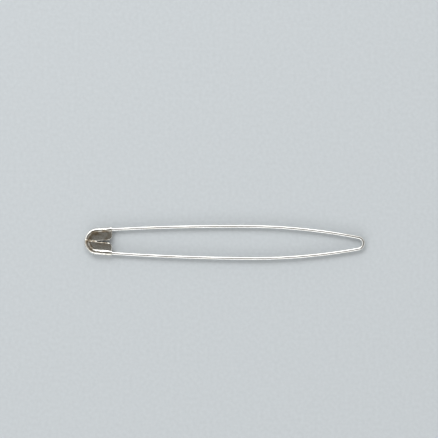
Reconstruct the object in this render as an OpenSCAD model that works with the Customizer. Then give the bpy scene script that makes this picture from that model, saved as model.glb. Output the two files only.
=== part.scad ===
// Stitch holder: one spring wire bent into two bowed legs, and a stamped sheet cap.
// X runs along the holder with the head at minus X, Y points to the fixed leg, Z is up.
// The holder lies flat on the flap of its cap, and the origin is below its middle.

/* [Wire] */
// Overall length of the closed holder
holder_length = 125; // [110:1:140]
// Diameter of the spring wire
wire_d = 1.5; // [1.4:0.05:1.6]
// Diameter of the bend, between the centre lines of the wire
bend_d = 5.2; // [4.6:0.1:6.4]
// Widest distance between the centre lines of the two legs
leg_spread = 14.3; // [13.8:0.1:15.2]
// Length of the taper that ends in the blunt tip
tip_length = 4; // [2:0.1:6]
// Diameter of the round end of the tip
tip_d = 0.9; // [0.6:0.05:1.2]
// Clearance of the ball at each end of the bend in its socket
ball_clearance = 0.05; // [0.04:0.01:0.06]

/* [Cap] */
// Length of the cap from the head to the mouth
cap_length = 12.4; // [11.5:0.1:14]
// Radius of the round head
head_r = 6; // [5.8:0.1:6.4]
// Angle at which each side of the cap opens towards the mouth
cap_taper = 3.8; // [3.4:0.1:4.2]
// Thickness of the sheet
sheet_t = 0.3; // [0.25:0.05:0.35]
// Clearance between the fixed leg and the bead rolled round it
bead_clearance = 0.03; // [0.03:0.01:0.05]
// Angle past its outermost line at which the bead's curl ends
curl_angle = 125; // [95:5:140]
// Length of the collar that ends the bead at the mouth
collar_length = 0.9; // [0.5:0.1:1.5]
// Height of the collar above the bead
collar_height = 0.12; // [0.05:0.01:0.2]

/* [Fold and flap] */
// Inner radius of the fold that takes the free leg
fold_r = 1.1; // [1.05:0.01:1.2]
// Height of the fold's centre above the wire's plane
fold_rise = 0.15; // [0.1:0.01:0.2]
// Clearance between the closed free leg and its mirrored place against the fold
latch_gap = 0.1; // [0.08:0.01:0.15]
// Distance of the flap's inner edge from the middle of the cap
flap_edge = 0.9; // [0.7:0.1:1.5]
// Radius of the flap's corner at the mouth
flap_corner_r = 1.6; // [1:0.1:2.2]

/* [Lobes] */
// Distance of the slit's rolled lip from the middle of the cap
lip_edge = 0.15; // [0.1:0.05:0.3]
// Radius of the rolled lip, to the middle of the sheet
lip_r = 0.3; // [0.25:0.05:0.4]
// Slope of the dished lobe's shoulder, where it leaves the bead
dish_slope = 26; // [18:1:32]
// Slope of the raised lobe's shoulder, where it leaves the fold
lobe_slope = 24; // [18:1:30]
// Radius of the hollow between each shoulder and its flat plate
hollow_r = 2; // [1.2:0.1:2.4]
// Corner radius of the dished lobe in the notch
dish_corner_r = 2.2; // [1.5:0.1:2.6]
// Corner radius of the raised lobe in the notch
lobe_corner_r = 1.7; // [1.2:0.1:2.2]

/* [Hidden] */

// Segments of a small circle and of a whole turn of a long arc
round_fn = 48;
long_fn = 1440;
// Overlap of a cutting shape past the face that it cuts
cut = 1;
// Hook, balls and tip are this much thinner where they join the wire, for a clean seam
seam = 0.005;
// Length by which the hook and the tip reach into the leg that they end
seam_reach = 0.05;

// Wire and sheet radii
wire_r = wire_d / 2;
bend_r = bend_d / 2;
bead_r = wire_r + bead_clearance + sheet_t / 2;
fold_mid_r = fold_r + sheet_t / 2;

// Heights: the flap's outer face lies on the ground
flap_z = fold_rise - fold_mid_r;
wire_z = sheet_t / 2 - flap_z;

// Places along the holder
head_x = -holder_length / 2 + head_r;
mouth_x = -holder_length / 2 + cap_length;
bend_x = holder_length / 2 - wire_r - bend_r;

// Centre line of the fixed leg: hook, arc from the cap, arc to the bend
hook_r = head_r - sheet_t / 2 - bead_r;
hook_angle = 82;
hook_point = [head_x - hook_r * sin(cap_taper), hook_r * cos(cap_taper)];
mouth_run = (mouth_x - hook_point[0]) / cos(cap_taper);
half_spread = leg_spread / 2;
cap_arc_r = (half_spread - hook_point[1]) / (1 - cos(cap_taper));
widest_x = hook_point[0] + cap_arc_r * sin(cap_taper);
bend_gap_x = bend_x - widest_x;
bend_arc_r = (pow(bend_gap_x, 2) + pow(half_spread, 2) - pow(bend_r, 2)) / (2 * (half_spread - bend_r));
bend_slope = asin(bend_gap_x / (bend_arc_r - bend_r));
joint_point = [bend_x + bend_r * sin(bend_slope), bend_r * cos(bend_slope)];

// The free leg mirrors the fixed leg, turned in by the clearance of the latch.
// Its arc ends where the taper starts, so that the tip reaches the head's centre.
latch_angle = asin(latch_gap / (joint_point[0] - head_x));
taper_angle = asin((widest_x - head_x - tip_length) / cap_arc_r);
taper_point = [head_x + tip_length, half_spread - cap_arc_r * (1 - cos(taper_angle))];

// Sheet profile of the dished half, as distances from the middle of the cap: bead, hollow, lip
bead_c = [hook_r, 0];
lip_x = lip_edge + sheet_t / 2 + lip_r;
bead_arc = [bead_c, bead_r, -curl_angle, 90 + dish_slope];
dish_arc = hollow_arc(bead_c, bead_r, dish_slope);
dish_lip_arc = lip_arc(dish_arc);

// Sheet profile of the raised half: fold, hollow, lip
fold_c = [head_r - sheet_t / 2 - fold_mid_r, fold_rise];
fold_arc = [fold_c, fold_mid_r, -90, 90 + lobe_slope];
lobe_arc = hollow_arc(fold_c, fold_mid_r, lobe_slope);
lobe_lip_arc = lip_arc(lobe_arc);

// Hollow that runs on from the sloping end of a round of centre c and radius r
function hollow_arc(c, r, slope) =
    [c + (r + hollow_r) * [-sin(slope), cos(slope)], hollow_r, slope - 90, -90];

// Height of the flat plate that runs on from a hollow, and the lip rolled down from it
function plate_z(hollow) = hollow[0][1] - hollow_r;
function lip_arc(hollow) = [[lip_x, plate_z(hollow) - lip_r], lip_r, 90, 180];

// Point on one face of the sheet, at angle a of an arc: side is 1 outside and -1 inside
function face_point(arc, a, side) =
    let (turn = arc[3] > arc[2] ? 1 : -1)
    arc[0] + (arc[1] + turn * side * sheet_t / 2) * [cos(a), sin(a)];

// Points along one face of the sheet, over a list of arcs that run on from each other
function face_points(arcs, side) = [
    for (arc = arcs)
        let (steps = ceil(abs(arc[3] - arc[2]) / arc_step(arc[1])))
            for (i = [0:steps])
                face_point(arc, arc[2] + (arc[3] - arc[2]) * i / steps, side)
];

// Angle between the points of an arc of radius r
function arc_step(r) = r > 3 ? 3 : 9;

function reversed(list) = [for (i = [len(list) - 1:-1:0]) list[i]];

// Bead round the fixed leg, dished lobe and rolled lip
module dished_profile() {
    arcs = [bead_arc, dish_arc, dish_lip_arc];
    polygon(concat(face_points(arcs, 1), reversed(face_points(arcs, -1))));
}

// Flap, fold round the free leg, raised lobe and rolled lip
module raised_profile() {
    arcs = [fold_arc, lobe_arc, lobe_lip_arc];
    polygon(concat(
        [[flap_edge, flap_z - sheet_t / 2]], face_points(arcs, 1),
        reversed(face_points(arcs, -1)), [[flap_edge, flap_z + sheet_t / 2]]));
}

// One half of the cap: its profile runs along the tapered side and round the head
module swept_half() {
    translate([head_x, 0, wire_z])
        rotate([0, 0, 90 + cap_taper]) {
            rotate_extrude(angle = 90 - cap_taper, $fn = long_fn / 8)
                children();
            rotate([90, 0, 0])
                linear_extrude(height = cap_length)
                    children();
        }
}

// Step across the head, from the middle of the dished sheet to that of the raised sheet
module crease_step() {
    fold_top = [fold_c, fold_mid_r, 0, 90 + lobe_slope];
    bead_top = [bead_c, bead_r, 0, 90 + dish_slope];
    translate([head_x, sheet_t / 2, wire_z])
        rotate([0, 0, 180])
            rotate([90, 0, 0])
                translate([0, 0, -sheet_t])
                    linear_extrude(height = sheet_t)
                        polygon(concat(
                            face_points([fold_top, lobe_arc], 0), [[lip_x, plate_z(lobe_arc)]],
                            [[lip_x, plate_z(dish_arc)]], reversed(face_points([bead_top, dish_arc], 0))));
}

// Cutter that rounds a corner at the mouth, on the side where y is above edge_y
module corner_cutter(r, edge_y) {
    difference() {
        translate([mouth_x - r, 0])
            square([r + cut, r + edge_y]);
        translate([mouth_x - r, r + edge_y])
            circle(r = r);
    }
}

// Slit line's distance from the middle, at the start of a corner of radius r
function slit_y(r) = lip_edge + (mouth_x - r - head_x) * tan(cap_taper);

module collar() {
    translate([head_x, 0, wire_z])
        rotate([0, 0, 90 + cap_taper])
            rotate([90, 0, 0])
                translate([0, 0, mouth_run - collar_length])
                    linear_extrude(height = collar_length + cut)
                        translate(bead_c)
                            intersection() {
                                difference() {
                                    circle(r = bead_r + sheet_t / 2 + collar_height);
                                    circle(r = bead_r);
                                }
                                polygon([[0, 0], for (i = [0:4])
                                    let (a = -curl_angle + (90 + curl_angle) * i / 4)
                                        3 * bead_r * [cos(a), sin(a)]]);
                            }
}

module cap() {
    lobe_z = wire_z + fold_rise;
    color("darkgray")
        difference() {
            union() {
                swept_half() dished_profile();
                mirror([0, 1, 0])
                    swept_half() raised_profile();
                crease_step();
                collar();
            }
            // Mouth
            translate([mouth_x, -head_r * 2, -cut])
                cube([cap_length, head_r * 4, wire_z * 4]);
            // Notch between the lobes
            translate([0, 0, lobe_z])
                linear_extrude(height = wire_z * 2)
                    corner_cutter(dish_corner_r, slit_y(dish_corner_r));
            translate([0, 0, lobe_z])
                linear_extrude(height = wire_z * 2)
                    mirror([0, 1])
                        corner_cutter(lobe_corner_r, slit_y(lobe_corner_r));
            // Corner of the flap
            translate([0, 0, -cut])
                linear_extrude(height = lobe_z)
                    mirror([0, 1])
                        corner_cutter(flap_corner_r, slit_y(flap_corner_r) + flap_edge - lip_edge);
        }
}

// Arc of round stock that starts at a point, at an angle round its centre
module wire_arc(start, angle, r, sweep) {
    translate([start[0], start[1], wire_z])
        rotate([0, 0, angle])
            translate([-r, 0, 0])
                rotate_extrude(angle = sweep, $fn = long_fn)
                    translate([r, 0])
                        circle(r = wire_r);
}

// Bowed leg, from its widest point through an angle towards the cap, and to the socket at the bend
module bowed_leg(cap_angle) {
    widest = [widest_x, half_spread];
    difference() {
        union() {
            wire_arc(widest, 90, cap_arc_r, cap_angle);
            wire_arc(widest, 90, bend_arc_r, -bend_slope);
        }
        translate([joint_point[0], joint_point[1], wire_z])
            sphere(r = wire_r + ball_clearance);
    }
}

module fixed_leg() {
    reach_angle = asin(seam_reach / hook_r);
    color("silver") {
        bowed_leg(cap_taper);
        translate([head_x, 0, wire_z])
            rotate([0, 0, 90 + cap_taper - reach_angle])
                rotate_extrude(angle = hook_angle + reach_angle, $fn = long_fn / 4)
                    translate([hook_r, 0])
                        circle(r = wire_r - seam);
    }
}

// Each ball's poles lie along the wire, so that the end face cuts it on its equator
module spring_bend() {
    apex = [bend_x + bend_r, 0];
    color("silver") {
        wire_arc(apex, 0, bend_r, 90 - bend_slope);
        wire_arc(apex, 0, bend_r, bend_slope - 90);
        for (side = [-1, 1])
            translate([joint_point[0], side * joint_point[1], wire_z])
                rotate([0, 90, -side * bend_slope])
                    sphere(r = wire_r - seam);
    }
}

// Taper and round end of the free leg, from the end of its arc towards the head
module tip() {
    taper_run = tip_length / cos(taper_angle) + seam_reach;
    translate([taper_point[0], taper_point[1], wire_z])
        rotate([0, -90, taper_angle])
            translate([0, 0, -seam_reach]) {
                cylinder(r1 = wire_r - seam, r2 = tip_d / 2, h = taper_run);
                translate([0, 0, taper_run])
                    sphere(r = tip_d / 2 - seam);
            }
}

// The free leg is the fixed leg's mirror image, turned in about its joint
module free_leg() {
    color("silver")
        translate([joint_point[0], -joint_point[1], 0])
            rotate([0, 0, -latch_angle])
                translate([-joint_point[0], joint_point[1], 0])
                    mirror([0, 1, 0]) {
                        bowed_leg(taper_angle);
                        tip();
                    }
}

$fn = round_fn;
cap();
fixed_leg();
spring_bend();
free_leg();
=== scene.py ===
"""Stitch holder: a bowed nickel-plated spring wire and the stamped sheet cap that latches it.

The object lies flat with its cap at -X, the fixed leg at +Y and the lobes of the cap up.
Sizes are in millimetres, most of them named as in the CAD source. Meshes are made in metres,
and the lamps, the floor and the camera's distance are given in metres.
"""
import math

import bpy
import numpy as np
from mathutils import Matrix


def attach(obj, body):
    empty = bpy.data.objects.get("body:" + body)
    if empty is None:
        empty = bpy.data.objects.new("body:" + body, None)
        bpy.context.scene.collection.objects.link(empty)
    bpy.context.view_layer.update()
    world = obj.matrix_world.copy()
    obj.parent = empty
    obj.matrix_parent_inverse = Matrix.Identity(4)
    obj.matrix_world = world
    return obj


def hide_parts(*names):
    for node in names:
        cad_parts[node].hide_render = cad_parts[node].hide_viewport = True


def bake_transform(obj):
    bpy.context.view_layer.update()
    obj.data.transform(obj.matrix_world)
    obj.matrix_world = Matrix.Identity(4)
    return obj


MM = 0.001
PER_MM = 1000

# Sizes of the wire
HOLDER_LENGTH = 125.0
WIRE_R = 0.75
BEND_R = 2.6
HALF_SPREAD = 7.15
TIP_LENGTH = 4.0
TIP_R = 0.45
# Sides of the round section in the wire's mesh
SECTION_SIDES = 32

# Sizes of the cap
CAP_LENGTH = 12.4
HEAD_R = 6.0
CAP_TAPER = math.radians(3.8)
SHEET_T = 0.3
BEAD_CLEARANCE = 0.03
CURL_ANGLE = 125.0
COLLAR_LENGTH = 0.9
COLLAR_HEIGHT = 0.12
# The collar rises over this ramp, which starts so far ahead of it
COLLAR_RAMP = 0.35
COLLAR_LEAD = 0.25
FOLD_R = 1.1
FOLD_RISE = 0.15
LATCH_GAP = 0.1
FLAP_EDGE = 0.9
LIP_EDGE = 0.15
LIP_R = 0.3
DISH_SLOPE = 26.0
LOBE_SLOPE = 24.0
HOLLOW_R = 2.0
# The step across the head: half its width, and how far it shifts towards the fixed leg at the rim
STEP_HALF_WIDTH = 0.38
STEP_SHIFT = 0.6

# Rounded corners of the sheet at the mouth. They reach so far along and across the cap, from an
# inner edge at this distance from its middle.
SQUARE_CORNER = dict(along=0.01, across=0.01, inner_edge=-1.0)
DISHED_CORNER = dict(along=1.9, across=2.3, inner_edge=LIP_EDGE + 0.35)
RAISED_CORNER = dict(along=2.5, across=1.8, inner_edge=LIP_EDGE + 0.3)
FLAP_CORNER = dict(along=1.6, across=1.6, inner_edge=FLAP_EDGE + 0.35)

# Places
BEAD_R = WIRE_R + BEAD_CLEARANCE + SHEET_T / 2
FOLD_MID_R = FOLD_R + SHEET_T / 2
WIRE_Z = SHEET_T / 2 + FOLD_MID_R - FOLD_RISE
HEAD_X = -HOLDER_LENGTH / 2 + HEAD_R
MOUTH_X = -HOLDER_LENGTH / 2 + CAP_LENGTH
BEND_X = HOLDER_LENGTH / 2 - WIRE_R - BEND_R
HOOK_R = HEAD_R - SHEET_T / 2 - BEAD_R
HOOK_ANGLE = math.radians(82)

# Long arcs of the legs, and the joints where they meet the bend
HOOK_X = HEAD_X - HOOK_R * math.sin(CAP_TAPER)
HOOK_Y = HOOK_R * math.cos(CAP_TAPER)
CAP_ARC_R = (HALF_SPREAD - HOOK_Y) / (1 - math.cos(CAP_TAPER))
WIDEST_X = HOOK_X + CAP_ARC_R * math.sin(CAP_TAPER)
BEND_GAP = BEND_X - WIDEST_X
BEND_ARC_R = (BEND_GAP**2 + HALF_SPREAD**2 - BEND_R**2) / (2 * (HALF_SPREAD - BEND_R))
BEND_SLOPE = math.asin(BEND_GAP / (BEND_ARC_R - BEND_R))
JOINT_X = BEND_X + BEND_R * math.sin(BEND_SLOPE)
JOINT_Y = BEND_R * math.cos(BEND_SLOPE)

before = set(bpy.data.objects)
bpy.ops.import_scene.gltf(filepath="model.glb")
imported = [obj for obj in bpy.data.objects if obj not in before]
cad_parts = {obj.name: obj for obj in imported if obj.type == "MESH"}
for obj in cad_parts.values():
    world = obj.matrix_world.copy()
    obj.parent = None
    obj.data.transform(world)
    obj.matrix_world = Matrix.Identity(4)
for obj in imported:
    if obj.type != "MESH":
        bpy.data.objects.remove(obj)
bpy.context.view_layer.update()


def place_object(name, data):
    """A new object in the scene that shows the data."""
    shown = bpy.data.objects.new(name, data)
    bpy.context.scene.collection.objects.link(shown)
    return shown


# Camera

def make_camera():
    """Looks straight down with a long lens, as the photograph does."""
    # Metres, at the floor
    frame_width = 0.195
    distance = 1.5
    # Millimetres and degrees, so that the holder has its place in the photograph's frame
    aim_x, aim_y = -2.57, 10.34
    tilt = 0.41
    sensor_width = 36.0
    camera_data = bpy.data.cameras.new("camera")
    camera_data.sensor_width = sensor_width
    camera_data.lens = sensor_width * distance / frame_width
    camera_data.clip_start = 0.05
    camera_data.clip_end = 20.0
    camera = place_object("camera", camera_data)
    camera.location = (aim_x * MM, aim_y * MM, distance)
    camera.rotation_euler = (0, 0, math.radians(tilt))
    bpy.context.scene.camera = camera


make_camera()


# Materials

def linear(hex_colour):
    """Linear RGBA of an sRGB hex colour."""
    channels = [int(hex_colour[i:i + 2], 16) / 255 for i in (1, 3, 5)]
    return [c / 12.92 if c <= 0.04045 else ((c + 0.055) / 1.055) ** 2.4 for c in channels] + [1.0]


def add_node(tree, kind, settings=None, stops=(), **inputs):
    """Adds a node with its settings, its inputs and, for a colour ramp, its (position, colour) stops.

    An input is given by its name, or by its number after a _. A node output given as an input
    is linked, and any other value is set.
    """
    node = tree.nodes.new(kind)
    for name, value in (settings or {}).items():
        setattr(node, name, value)
    for name, value in inputs.items():
        key = int(name[1:]) if name[0] == "_" else name.replace("_", " ")
        socket = node.inputs[key]
        if isinstance(value, bpy.types.NodeSocket):
            tree.links.new(value, socket)
        else:
            socket.default_value = value
    if stops:
        elements = node.color_ramp.elements
        while len(elements) < len(stops):
            elements.new(0.5)
        for element, (position, colour) in zip(elements, stops):
            element.position = position
            element.color = linear(colour)
    return node


def new_metal(name):
    """A material with a metal Principled shader, and its node tree and shader."""
    material = bpy.data.materials.new(name)
    material.use_nodes = True
    tree = material.node_tree
    shader = tree.nodes["Principled BSDF"]
    shader.inputs["Metallic"].default_value = 1.0
    return material, tree, shader


def nickel_wire_material():
    """Bright nickel plating on drawn spring wire.

    The die leaves fine lines along the wire. The real ones are a few hundredths of a
    millimetre wide; here they are 0.15 mm wide, so that they show. Handling has left
    the plating a little warmer and duller in patches some 6 mm long.
    """
    line_length, line_width = 12, 0.15
    patch_length, patch_width = 6, 2
    material, tree, shader = new_metal("bright_nickel_plated_wire")
    # wire_place is in millimetres: along the wire, then across it
    place = add_node(tree, "ShaderNodeAttribute", {"attribute_name": "wire_place"}).outputs["Vector"]
    line_place = add_node(tree, "ShaderNodeVectorMath", {"operation": "MULTIPLY"}, _0=place,
                          _1=(1 / line_length, 1 / line_width, 1 / line_width)).outputs["Vector"]
    lines = add_node(tree, "ShaderNodeTexNoise", Vector=line_place, Scale=1.0, Detail=3.0).outputs["Fac"]
    patch_place = add_node(tree, "ShaderNodeVectorMath", {"operation": "MULTIPLY"}, _0=place,
                           _1=(1 / patch_length, 1 / patch_width, 1 / patch_width)).outputs["Vector"]
    patches = add_node(tree, "ShaderNodeTexNoise", Vector=patch_place, Scale=1.0, Detail=4.0).outputs["Fac"]
    colour = add_node(tree, "ShaderNodeValToRGB", Fac=patches, stops=[(0.35, "#e8e9e8"), (0.7, "#dad9d5")])
    tree.links.new(colour.outputs["Color"], shader.inputs["Base Color"])
    roughness = add_node(tree, "ShaderNodeMath", {"operation": "MULTIPLY_ADD"}, _0=lines, _1=0.12, _2=0.06)
    tree.links.new(roughness.outputs[0], shader.inputs["Roughness"])
    bump = add_node(tree, "ShaderNodeBump", Height=lines, Strength=0.1, Distance=0.01 * MM)
    tree.links.new(bump.outputs["Normal"], shader.inputs["Normal"])
    return material


def nickel_sheet_material():
    """Nickel plating on stamped strip steel.

    The strip's rolled grain runs along the cap and shows through the plating. It is drawn
    0.12 mm wide, so that it shows. The press left the plates a little uneven, in waves
    some 3 mm long and 1 mm wide. The attribute read here sets how bright the plating is drawn,
    partly wear from handling and partly painted light: painted shade browns the hollow beside
    the bead and the step across the head, the plates are duller, and painted highlights brighten
    the bead, the rims and the fold. Tarnish shifts it in blotches some 2.5 mm wide, and dull
    plating is also the rougher.
    """
    grain_length, grain_width = 4, 0.12
    wave_length, wave_width = 3, 1
    blotch_width = 2.5
    material, tree, shader = new_metal("nickel_plated_stamped_sheet")
    place = add_node(tree, "ShaderNodeTexCoord").outputs["Object"]
    grain_place = add_node(tree, "ShaderNodeMapping", Vector=place, Scale=(
        PER_MM / grain_length, PER_MM / grain_width, PER_MM / grain_width)).outputs["Vector"]
    grain = add_node(tree, "ShaderNodeTexNoise", Vector=grain_place, Scale=1.0, Detail=3.0).outputs["Fac"]
    wave_place = add_node(tree, "ShaderNodeMapping", Vector=place, Scale=(
        PER_MM / wave_length, PER_MM / wave_width, PER_MM / wave_width)).outputs["Vector"]
    waves = add_node(tree, "ShaderNodeTexNoise", Vector=wave_place, Scale=1.0, Detail=2.0).outputs["Fac"]
    blotches = add_node(tree, "ShaderNodeTexNoise", Vector=place, Scale=PER_MM / blotch_width,
                        Detail=5.0).outputs["Fac"]
    tarnish = add_node(tree, "ShaderNodeMath", {"operation": "MULTIPLY_ADD"}, _0=blotches, _1=2.4, _2=-1.2)
    # Painted light, with some wear: how bright the plating is drawn at each point of the mesh
    wear_and_painted_light = add_node(tree, "ShaderNodeAttribute", {"attribute_name": "wear_and_painted_light"}).outputs["Fac"]
    bright = add_node(tree, "ShaderNodeMath", {"operation": "ADD"}, _0=wear_and_painted_light,
                      _1=tarnish.outputs[0]).outputs[0]
    # Low values give the brown of painted shade, high ones the near-white of painted highlight
    colour = add_node(tree, "ShaderNodeValToRGB", Fac=bright, stops=[
        (0.0, "#887c6a"), (0.25, "#aca69b"), (0.55, "#d3d1ca"), (0.95, "#ebeae6")])
    tree.links.new(colour.outputs["Color"], shader.inputs["Base Color"])
    dull = add_node(tree, "ShaderNodeMath", {"operation": "MULTIPLY_ADD"}, _0=bright, _1=-0.2, _2=0.29)
    roughness = add_node(tree, "ShaderNodeMath", {"operation": "MULTIPLY_ADD"}, _0=grain, _1=0.16,
                         _2=dull.outputs[0])
    tree.links.new(roughness.outputs[0], shader.inputs["Roughness"])
    uneven = add_node(tree, "ShaderNodeBump", Height=waves, Strength=1.0, Distance=0.15 * MM)
    lines = add_node(tree, "ShaderNodeBump", Height=grain, Strength=0.2, Distance=0.01 * MM,
                     Normal=uneven.outputs["Normal"])
    tree.links.new(lines.outputs["Normal"], shader.inputs["Normal"])
    return material


def paper_floor_material():
    """Matt pale paper, with a faint mottle some 1.5 mm wide from its fibres."""
    fibre_width = 1.5
    material = bpy.data.materials.new("matt_paper")
    material.use_nodes = True
    tree = material.node_tree
    shader = tree.nodes["Principled BSDF"]
    place = add_node(tree, "ShaderNodeTexCoord").outputs["Object"]
    fibre = add_node(tree, "ShaderNodeTexNoise", Vector=place, Scale=PER_MM / fibre_width, Detail=4.0)
    colour = add_node(tree, "ShaderNodeValToRGB", Fac=fibre.outputs["Fac"],
                      stops=[(0.3, "#c3c9cd"), (0.7, "#c9cfd3")])
    tree.links.new(colour.outputs["Color"], shader.inputs["Base Color"])
    shader.inputs["Roughness"].default_value = 0.85
    shader.inputs["Specular IOR Level"].default_value = 0.25
    return material


NICKEL_WIRE = nickel_wire_material()
NICKEL_SHEET = nickel_sheet_material()


# Wire pieces

def arc_points(centre, radius, start, end, count):
    """Points on an arc round a centre (x, y), between two angles in radians."""
    angles = np.linspace(start, end, count)
    return np.column_stack([centre[0] + radius * np.cos(angles), centre[1] + radius * np.sin(angles)])


def leg_points(cap_angle):
    """Centre line of the leg at +Y, from an angle before its widest point to the bend's apex."""
    widest_angle = math.pi / 2
    cap_end = widest_angle + cap_angle
    joint = widest_angle - BEND_SLOPE
    cap_arc = arc_points((WIDEST_X, HALF_SPREAD - CAP_ARC_R), CAP_ARC_R, cap_end, widest_angle,
                         count=60)
    bend_arc = arc_points((WIDEST_X, HALF_SPREAD - BEND_ARC_R), BEND_ARC_R, widest_angle, joint,
                          count=48)
    bend = arc_points((BEND_X, 0), BEND_R, joint, 0, count=36)
    return np.vstack([cap_arc, bend_arc[1:], bend[1:]])


def fixed_leg_path():
    """Points and radii of the fixed leg: hook in the head of the cap, leg and half the bend."""
    start = math.pi / 2 + CAP_TAPER
    hook = arc_points((HEAD_X, 0), HOOK_R, start + HOOK_ANGLE, start, count=30)
    points = np.vstack([hook[:-1], leg_points(CAP_TAPER)])
    return points, np.full(len(points), WIRE_R)


def free_leg_path():
    """Points and radii of the free leg: blunt tip, taper, leg and half the bend."""
    taper_power = 1.6
    taper_angle = math.asin((WIDEST_X - HEAD_X - TIP_LENGTH) / CAP_ARC_R)
    leg = leg_points(taper_angle)
    back = np.array([-math.cos(taper_angle), -math.sin(taper_angle)])
    # The end is half a ball, and the taper swells from it
    end_angles = np.radians([88, 75, 60, 45, 30, 15])
    end_run = TIP_LENGTH + TIP_R * np.sin(end_angles)
    taper_run = np.linspace(TIP_LENGTH, 0, 14)[:-1]
    run = np.concatenate([end_run, taper_run])
    fullness = 1 - (taper_run / TIP_LENGTH)**taper_power
    radii = np.concatenate([TIP_R * np.cos(end_angles), TIP_R + (WIRE_R - TIP_R) * fullness,
                            np.full(len(leg), WIRE_R)])
    points = np.vstack([leg[0] + run[:, None] * back, leg])
    # The leg mirrors the fixed one, turned in about its joint by the clearance of the latch
    points[:, 1] *= -1
    turn = -math.asin(LATCH_GAP / (JOINT_X - HEAD_X))
    rotation = np.array([[math.cos(turn), math.sin(turn)], [-math.sin(turn), math.cos(turn)]])
    joint = np.array([JOINT_X, -JOINT_Y])
    on_leg = points[:, 0] < JOINT_X
    points[on_leg] = (points[on_leg] - joint) @ rotation + joint
    return points, radii


def wire_sweep_tree():
    """Geometry Nodes: sweeps a round section along a curve, as wide as the curve's own radius.

    The wire radius, in millimetres, is for the place on the surface, which doesn't taper.
    """
    tree = bpy.data.node_groups.new("wire_sweep", "GeometryNodeTree")
    interface = tree.interface
    interface.new_socket("Centre Line", in_out="INPUT", socket_type="NodeSocketGeometry")
    interface.new_socket("Section Sides", in_out="INPUT", socket_type="NodeSocketInt")
    interface.new_socket("Wire Radius", in_out="INPUT", socket_type="NodeSocketFloat")
    interface.new_socket("Surface", in_out="INPUT", socket_type="NodeSocketMaterial")
    interface.new_socket("Wire", in_out="OUTPUT", socket_type="NodeSocketGeometry")
    inputs = add_node(tree, "NodeGroupInput").outputs
    # The distance along the wire and the place round its section are kept from before the sweep
    along = add_node(tree, "GeometryNodeSplineParameter").outputs["Length"]
    line = add_node(tree, "GeometryNodeCaptureAttribute", {"domain": "POINT"},
                    Geometry=inputs["Centre Line"])
    line.capture_items.new("FLOAT", "Along")
    tree.links.new(along, line.inputs["Along"])
    circle = add_node(tree, "GeometryNodeCurvePrimitiveCircle", Radius=1.0,
                      Resolution=inputs["Section Sides"])
    section = add_node(tree, "GeometryNodeCaptureAttribute", {"domain": "POINT"},
                       Geometry=circle.outputs["Curve"])
    section.capture_items.new("VECTOR", "Across")
    tree.links.new(add_node(tree, "GeometryNodeInputPosition").outputs[0], section.inputs["Across"])
    radius = add_node(tree, "GeometryNodeInputRadius").outputs[0]
    sweep = add_node(tree, "GeometryNodeCurveToMesh", Curve=line.outputs["Geometry"],
                     Profile_Curve=section.outputs["Geometry"], Scale=radius, Fill_Caps=True)
    smooth = add_node(tree, "GeometryNodeSetShadeSmooth", Geometry=sweep.outputs["Mesh"])
    # The place on the wire as if it were straight, in millimetres, for the lines that the die drew
    across = add_node(tree, "ShaderNodeVectorMath", {"operation": "SCALE"}, _0=section.outputs["Across"],
                      Scale=inputs["Wire Radius"])
    parts = add_node(tree, "ShaderNodeSeparateXYZ", _0=across.outputs["Vector"]).outputs
    along_mm = add_node(tree, "ShaderNodeMath", {"operation": "DIVIDE"}, _0=line.outputs["Along"], _1=MM)
    place = add_node(tree, "ShaderNodeCombineXYZ", X=along_mm.outputs[0], Y=parts["X"], Z=parts["Y"])
    store = add_node(tree, "GeometryNodeStoreNamedAttribute",
                     {"data_type": "FLOAT_VECTOR", "domain": "POINT"},
                     Geometry=smooth.outputs["Geometry"], Name="wire_place", Value=place.outputs[0])
    real = add_node(tree, "GeometryNodeRealizeInstances", Geometry=store.outputs["Geometry"])
    coated = add_node(tree, "GeometryNodeSetMaterial", Geometry=real.outputs["Geometry"],
                      Material=inputs["Surface"])
    add_node(tree, "NodeGroupOutput", Wire=coated.outputs["Geometry"])
    return tree


def sweep_wire(name, tree, points, radii):
    """A plain mesh of wire along a centre line, made by the sweep tree."""
    curve = bpy.data.curves.new(name + "_line", "CURVE")
    curve.dimensions = "3D"
    spline = curve.splines.new("POLY")
    spline.points.add(len(points) - 1)
    for point, (x, y), radius in zip(spline.points, points, radii):
        point.co = (x * MM, y * MM, WIRE_Z * MM, 1)
        point.radius = radius * MM
    line = place_object(name + "_line", curve)
    modifier = line.modifiers.new("sweep", "NODES")
    modifier.node_group = tree
    sockets = {item.name: item.identifier for item in tree.interface.items_tree}
    modifier[sockets["Section Sides"]] = SECTION_SIDES
    modifier[sockets["Wire Radius"]] = WIRE_R
    modifier[sockets["Surface"]] = NICKEL_WIRE
    depsgraph = bpy.context.evaluated_depsgraph_get()
    mesh = bpy.data.meshes.new_from_object(line.evaluated_get(depsgraph))
    mesh.name = name
    piece = place_object(name, mesh)
    bpy.data.objects.remove(line)
    return piece


# Cap piece

def arc_line(centre, radius, start, end, count):
    """Points on an arc of the sheet's section, angles in degrees, without the last one."""
    return arc_points(centre, radius, math.radians(start), math.radians(end), count + 1)[:-1]


# Points of the sheet's section: curl or flap, bead or fold, hollow, plate, lip
SECTION_COUNTS = (16, 30, 14, 14, 12)
FLAP_END = SECTION_COUNTS[0]
TOP_START = sum(SECTION_COUNTS[:2])
SECTION_INDEX = np.arange(sum(SECTION_COUNTS) + 1)


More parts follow.
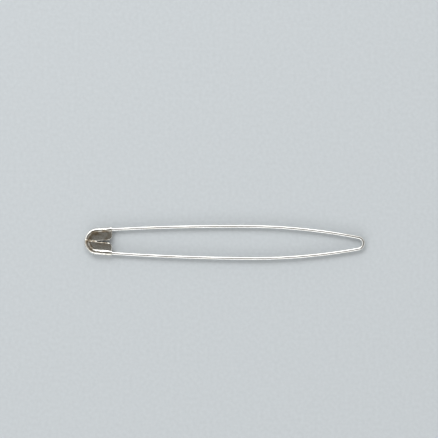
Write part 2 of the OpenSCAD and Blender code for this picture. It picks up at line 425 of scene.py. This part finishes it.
def lobe_line(centre, radius, slope):
    """Middle of the sheet from the top of a bead or fold: hollow, flat plate and rolled lip."""
    _, _, hollow, plate, lip = SECTION_COUNTS
    turn = math.radians(slope)
    hollow_x = centre[0] - (radius + HOLLOW_R) * math.sin(turn)
    plate_z = centre[1] + (radius + HOLLOW_R) * math.cos(turn) - HOLLOW_R
    lip_x = LIP_EDGE + SHEET_T / 2 + LIP_R
    plate_x = np.linspace(hollow_x, lip_x, plate + 1)[:-1]
    return np.vstack([
        arc_line((hollow_x, plate_z + HOLLOW_R), HOLLOW_R, slope - 90, -90, hollow),
        np.column_stack([plate_x, np.full(plate, plate_z)]),
        arc_line((lip_x, plate_z - LIP_R), LIP_R, 90, 180, lip),
        [(lip_x - LIP_R, plate_z - LIP_R)],
    ])


def dished_section():
    """Middle of the sheet at the fixed leg's side, as (distance from the cap's middle, height)."""
    curl, bead = SECTION_COUNTS[:2]
    centre = (HOOK_R, 0)
    return np.vstack([
        arc_line(centre, BEAD_R, -CURL_ANGLE, -90, curl),
        arc_line(centre, BEAD_R, -90, 90 + DISH_SLOPE, bead),
        lobe_line(centre, BEAD_R, DISH_SLOPE),
    ])


def raised_section():
    """Middle of the sheet at the free leg's side, as (distance from the cap's middle, height)."""
    flap, fold = SECTION_COUNTS[:2]
    centre = (HEAD_R - SHEET_T / 2 - FOLD_MID_R, FOLD_RISE)
    flap_x = np.linspace(FLAP_EDGE + SHEET_T / 2, centre[0], flap + 1)[:-1]
    return np.vstack([
        np.column_stack([flap_x, np.full(flap, FOLD_RISE - FOLD_MID_R)]),
        arc_line(centre, FOLD_MID_R, -90, 90 + LOBE_SLOPE, fold),
        lobe_line(centre, FOLD_MID_R, LOBE_SLOPE),
    ])


def section_painted_light_and_wear(curl_or_flap, bead_or_fold, hollow, plate, lip):
    """Painted light and wear at each point of a section, from (position, value) pairs along each of its
    stretches.
    """
    stretches = (curl_or_flap, bead_or_fold, hollow, plate, lip)
    *counts, lip_count = SECTION_COUNTS
    return np.concatenate([np.interp(np.arange(count) / count, *zip(*pairs))
                           for count, pairs in zip(counts + [lip_count + 1], stretches)])


# Painted light and wear on the dished side: painted highlight on the bead and lip, painted shade in the
# hollow beside the bead
DISHED_PAINTED_LIGHT_AND_WEAR = section_painted_light_and_wear(
    curl_or_flap=[(0, 0.5), (1, 0.7)],
    bead_or_fold=[(0, 0.7), (0.2, 1), (0.7, 1), (1, 0.3)],
    hollow=[(0, 0.2), (0.5, 0.1), (1, 0.35)],
    plate=[(0, 0.45), (1, 0.4)],
    lip=[(0, 0.5), (1, 1)])
# Painted light and wear on the raised side: painted highlight on the fold and the start of the hollow, a
# line of painted shade near the fold's top, painted shade on the lip
RAISED_PAINTED_LIGHT_AND_WEAR = section_painted_light_and_wear(
    curl_or_flap=[(0, 0.5), (1, 0.7)],
    bead_or_fold=[(0, 0.7), (0.2, 1), (0.6, 1), (0.85, 0.4), (1, 1)],
    hollow=[(0, 1), (0.6, 0.75), (1, 0.65)],
    plate=[(0, 0.65), (1, 0.5)],
    lip=[(0, 0.3), (1, 0.1)])


def smooth_step(t):
    """0 below 0, 1 above 1, smooth in between."""
    t = np.clip(t, 0, 1)
    return t * t * (3 - 2 * t)


# Stations along each side of the cap, from the mouth at 1 to the head, and the side's directions
SIDE_RUNS = np.linspace(1, 0, 33)[:-1]
SIDE_ALONG = np.array([math.cos(CAP_TAPER), math.sin(CAP_TAPER)])
SIDE_OUT = np.array([-math.sin(CAP_TAPER), math.cos(CAP_TAPER)])
HEAD_CENTRE = np.array([HEAD_X, 0])


def side_reach(distance, along, across, inner_edge):
    """How far along the side the sheet reaches at a distance from the middle, up to its rounded corner."""
    def is_beyond(run):
        x, y = HEAD_CENTRE + run * SIDE_ALONG + distance * SIDE_OUT
        depth = min(1.0, max(0.0, (inner_edge + across - y) / across))
        return x > MOUTH_X - along + along * math.sqrt(1 - depth**2)
    low, high = 0.0, CAP_LENGTH
    for _ in range(40):
        middle = (low + high) / 2
        low, high = (low, middle) if is_beyond(middle) else (middle, high)
    return low


def side_reaches(section, under_corner, top_corner):
    """How far along the side each point of a section reaches."""
    corners = [under_corner if j <= FLAP_END else top_corner if j >= TOP_START else SQUARE_CORNER
               for j in SECTION_INDEX]
    return np.array([side_reach(distance, **corner) for (distance, _), corner in zip(section, corners)])


def fixed_side_rows(section):
    """Rows of the cap's grid beside the fixed leg, from the mouth to the head."""
    reaches = side_reaches(section, SQUARE_CORNER, DISHED_CORNER)
    from_bead = section - np.array([HOOK_R, 0])
    # The collar at the mouth swells the bead, apart from its curled edge, and fades before the hollow
    fade_points = 12
    swells = (SECTION_INDEX > 1) * smooth_step((TOP_START - SECTION_INDEX) / fade_points)
    rows = []
    for run in SIDE_RUNS:
        along = run * reaches
        from_mouth = reaches - along
        collar = COLLAR_HEIGHT * smooth_step((COLLAR_LENGTH + COLLAR_LEAD - from_mouth) / COLLAR_RAMP)
        swollen = section + from_bead * (swells * collar / BEAD_R)[:, None]
        xy = HEAD_CENTRE + along[:, None] * SIDE_ALONG + swollen[:, :1] * SIDE_OUT
        rows.append(np.column_stack([xy, swollen[:, 1], DISHED_PAINTED_LIGHT_AND_WEAR]))
    return rows


def head_rows(dished, raised):
    """Rows of the cap's grid round the head, where the dished section turns into the raised one.

    On top the sheet steps up over a narrow stretch. Below, the curl widens into the flap
    over a longer one.
    """
    middle = (dished[:, 0] + raised[:, 0]) / 2
    # The step narrows towards the middle of the cap, and shifts most at the rim
    rim = 5.5
    half_width = np.minimum(STEP_HALF_WIDTH, 0.75 * middle)
    step_y = STEP_SHIFT * np.clip(middle / rim, 0, 1)**2 * half_width / STEP_HALF_WIDTH
    flap_y, flap_width = 0.5, 1.6
    # The section goes over from below to on top along the outside of the bead and fold
    outside_start, outside_points = FLAP_END + 8, 14
    on_top = smooth_step((SECTION_INDEX - outside_start) / outside_points)
    # The shoulder is the end of the bead and fold, and the hollow
    shoulder = (SECTION_INDEX >= TOP_START - 8) & (SECTION_INDEX < TOP_START + 16)
    # Stations lie closer together at the step, in the middle of the turn
    turns = np.linspace(-1, 1, 121)
    turns = turns * (0.35 + 0.65 * turns**2)
    rows = []
    for turn in turns:
        angle = math.pi + turn * (math.pi / 2 - CAP_TAPER)
        out = np.array([math.cos(angle), math.sin(angle)])
        y = middle * out[1]
        raised_on_top = smooth_step(0.5 - (y - step_y) / (2 * half_width))
        raised_below = smooth_step(0.5 - (y - flap_y) / flap_width)
        share = raised_below * (1 - on_top) + raised_on_top * on_top
        section = dished * (1 - share)[:, None] + raised * share[:, None]
        # Painted highlight on the raised shoulder, kept only where it runs along the side; round the head
        # the shoulder is drawn darker
        shoulder_painted_highlight = 0.15 + 0.85 * smooth_step((turn - 0.5) / 0.45)
        wear_and_painted_light = DISHED_PAINTED_LIGHT_AND_WEAR * (1 - share) + RAISED_PAINTED_LIGHT_AND_WEAR * np.where(shoulder, shoulder_painted_highlight, 1) * share
        # Painted shade darkens the step across the head
        step_painted_shade = 0.6 * (1 - np.abs(2 * share - 1)**4) * (SECTION_INDEX >= TOP_START)
        rows.append(np.column_stack([HEAD_CENTRE + section[:, :1] * out, section[:, 1], wear_and_painted_light * (1 - step_painted_shade)]))
    return rows


def free_side_rows(section):
    """Rows of the cap's grid beside the free leg, from the head to the mouth."""
    reaches = side_reaches(section, FLAP_CORNER, RAISED_CORNER)
    rows = []
    for run in SIDE_RUNS[::-1]:
        xy = HEAD_CENTRE + (run * reaches)[:, None] * SIDE_ALONG + section[:, :1] * SIDE_OUT
        rows.append(np.column_stack([xy * np.array([1, -1]), section[:, 1], RAISED_PAINTED_LIGHT_AND_WEAR]))
    return rows


def cap_grid():
    """Middle of the sheet as a grid: stations round the cap, by points of its section.

    Each point is x, y, z and the plating's value of painted light and wear.
    """
    dished, raised = dished_section(), raised_section()
    grid = np.array(fixed_side_rows(dished) + head_rows(dished, raised) + free_side_rows(raised))
    grid[:, :, 2] += WIRE_Z
    return grid


def edge_direction(grid, normal, i, j):
    """Unit direction in which the sheet ends, at a place on the border of its grid."""
    last_i, last_j = grid.shape[0] - 1, grid.shape[1] - 1
    out = np.zeros(3)
    for on_edge, inner in ((i == 0, (1, j)), (i == last_i, (last_i - 1, j)),
                           (j == 0, (i, 1)), (j == last_j, (i, last_j - 1))):
        if on_edge:
            step = grid[i, j] - grid[inner]
            out += step / np.linalg.norm(step)
    out -= normal[i, j] * np.dot(out, normal[i, j])
    return out / np.linalg.norm(out)


def sheet_piece(name, grid_and_painted_light, thickness, material):
    """A closed mesh of sheet metal round a grid of middle points and painted light and wear, with rounded
    edges.
    """
    edge_steps = 4
    edge_bulge = 0.6
    # The rounded edges are drawn bright, with a high value of painted light and wear
    edge_painted_light_and_wear = 0.9
    grid, wear_and_painted_light = grid_and_painted_light[:, :, :3], grid_and_painted_light[:, :, 3].ravel()
    rows, columns = grid.shape[:2]
    normal = np.cross(np.gradient(grid, axis=1), np.gradient(grid, axis=0))
    normal /= np.linalg.norm(normal, axis=2, keepdims=True)
    half = thickness / 2
    # The two faces of the sheet
    size = rows * columns
    number = np.arange(size).reshape(rows, columns)
    corners = [number[:-1, :-1], number[:-1, 1:], number[1:, 1:], number[1:, :-1]]
    upper = np.column_stack([corner.ravel() for corner in corners])
    vertices = [(grid + normal * half).reshape(-1, 3), (grid - normal * half).reshape(-1, 3)]
    faces = [upper, upper[:, ::-1] + size]
    # The edge, as rings round the border from one face to the other
    border = ([(i, 0) for i in range(rows - 1)] + [(rows - 1, j) for j in range(columns - 1)]
              + [(i, columns - 1) for i in range(rows - 1, 0, -1)]
              + [(0, j) for j in range(columns - 1, 0, -1)])
    outward = np.array([edge_direction(grid, normal, i, j) for i, j in border])
    at_border = tuple(np.array(border).T)
    rings = [number[at_border]]
    for k in range(1, edge_steps):
        angle = math.pi * k / edge_steps
        vertices.append(grid[at_border] + half * (
            math.cos(angle) * normal[at_border] + edge_bulge * math.sin(angle) * outward))
        rings.append(2 * size + (k - 1) * len(border) + np.arange(len(border)))
    rings.append(number[at_border] + size)
    for low, high in zip(rings, rings[1:]):
        faces.append(np.column_stack([np.roll(low, -1), low, high, np.roll(high, -1)]))
    all_vertices = np.vstack(vertices) * MM
    mesh = bpy.data.meshes.new(name)
    mesh.from_pydata(all_vertices.tolist(), [], np.vstack(faces).tolist())
    mesh.validate()
    mesh.polygons.foreach_set("use_smooth", [True] * len(mesh.polygons))
    all_painted_light_and_wear = np.concatenate([wear_and_painted_light, wear_and_painted_light, np.full(len(all_vertices) - 2 * size, edge_painted_light_and_wear)])
    attribute = mesh.attributes.new("wear_and_painted_light", "FLOAT", "POINT")
    attribute.data.foreach_set("value", all_painted_light_and_wear.astype(np.float32))
    mesh.materials.append(material)
    mesh.update()
    return place_object(name, mesh)


# Pieces, and the cap on its body

wire_sweep = wire_sweep_tree()
fixed_wire = sweep_wire("fixed_wire", wire_sweep, *fixed_leg_path())
free_wire = sweep_wire("free_wire", wire_sweep, *free_leg_path())
stamped_cap = sheet_piece("stamped_cap", cap_grid(), SHEET_T, NICKEL_SHEET)

# Each wire's placement is baked into its mesh
for piece, leg_body, side in ((fixed_wire, "holder", 1), (free_wire, "latch_leg", -1)):
    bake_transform(piece)
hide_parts("fixed_leg", "spring_bend")
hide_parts("free_leg")
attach(stamped_cap, "holder")
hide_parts("cap")


# Floor and light

def make_floor():
    """A wide sheet of paper under the holder."""
    reach = 3.0
    mesh = bpy.data.meshes.new("floor")
    mesh.from_pydata([(-reach, -reach, 0), (reach, -reach, 0), (reach, reach, 0), (-reach, reach, 0)],
                     [], [(0, 1, 2, 3)])
    mesh.materials.append(paper_floor_material())
    place_object("floor", mesh)


def add_softbox(name, location, size, watts):
    """A long soft lamp beside the holder, tilted towards it."""
    light = bpy.data.lights.new(name, "AREA")
    light.shape = "RECTANGLE"
    light.size, light.size_y = size
    light.energy = watts
    lamp = place_object(name, light)
    lamp.location = location
    _, y, z = location
    lamp.rotation_euler = (math.atan2(-y, z), 0, 0)


def make_light_tent():
    """A white light tent, with a dark gap at its top for the camera.

    Its wall is duller towards +X, apart from a white strip in the middle of that side.
    """
    world = bpy.data.worlds.new("light_tent")
    world.use_nodes = True
    tree = world.node_tree
    direction = add_node(tree, "ShaderNodeTexCoord").outputs["Generated"]
    height = add_node(tree, "ShaderNodeSeparateXYZ", _0=direction).outputs["Z"]
    gap = add_node(tree, "ShaderNodeValToRGB", Fac=height, stops=[
        (0.79, "#ffffff"), (0.87, "#9a9893"), (0.94, "#484744"), (0.99, "#75736f")])
    lean = add_node(tree, "ShaderNodeVectorMath", {"operation": "DOT_PRODUCT"}, _0=direction,
                    _1=(-0.9, 0.3, 0)).outputs["Value"]
    side = add_node(tree, "ShaderNodeMapRange", Value=lean, From_Min=-1.0, From_Max=1.0)
    wall = add_node(tree, "ShaderNodeValToRGB", Fac=side.outputs[0], stops=[
        (0.03, "#ffffff"), (0.11, "#b4b2af"), (0.35, "#f2f1ef"), (0.65, "#ffffff")])
    tent = add_node(tree, "ShaderNodeMix", {"data_type": "RGBA", "blend_type": "MULTIPLY"}, Factor=1.0,
                    _6=gap.outputs["Color"], _7=wall.outputs["Color"])
    background = tree.nodes["Background"]
    tree.links.new(tent.outputs[2], background.inputs["Color"])
    background.inputs["Strength"].default_value = 1.12
    bpy.context.scene.world = world


make_floor()
make_light_tent()
add_softbox("key_softbox", location=(-0.4, 0.95, 0.85), size=(1.3, 0.6), watts=8)
add_softbox("fill_softbox", location=(-0.2, -1.05, 0.4), size=(1.6, 0.3), watts=3)

bpy.context.scene.view_settings.view_transform = "Standard"
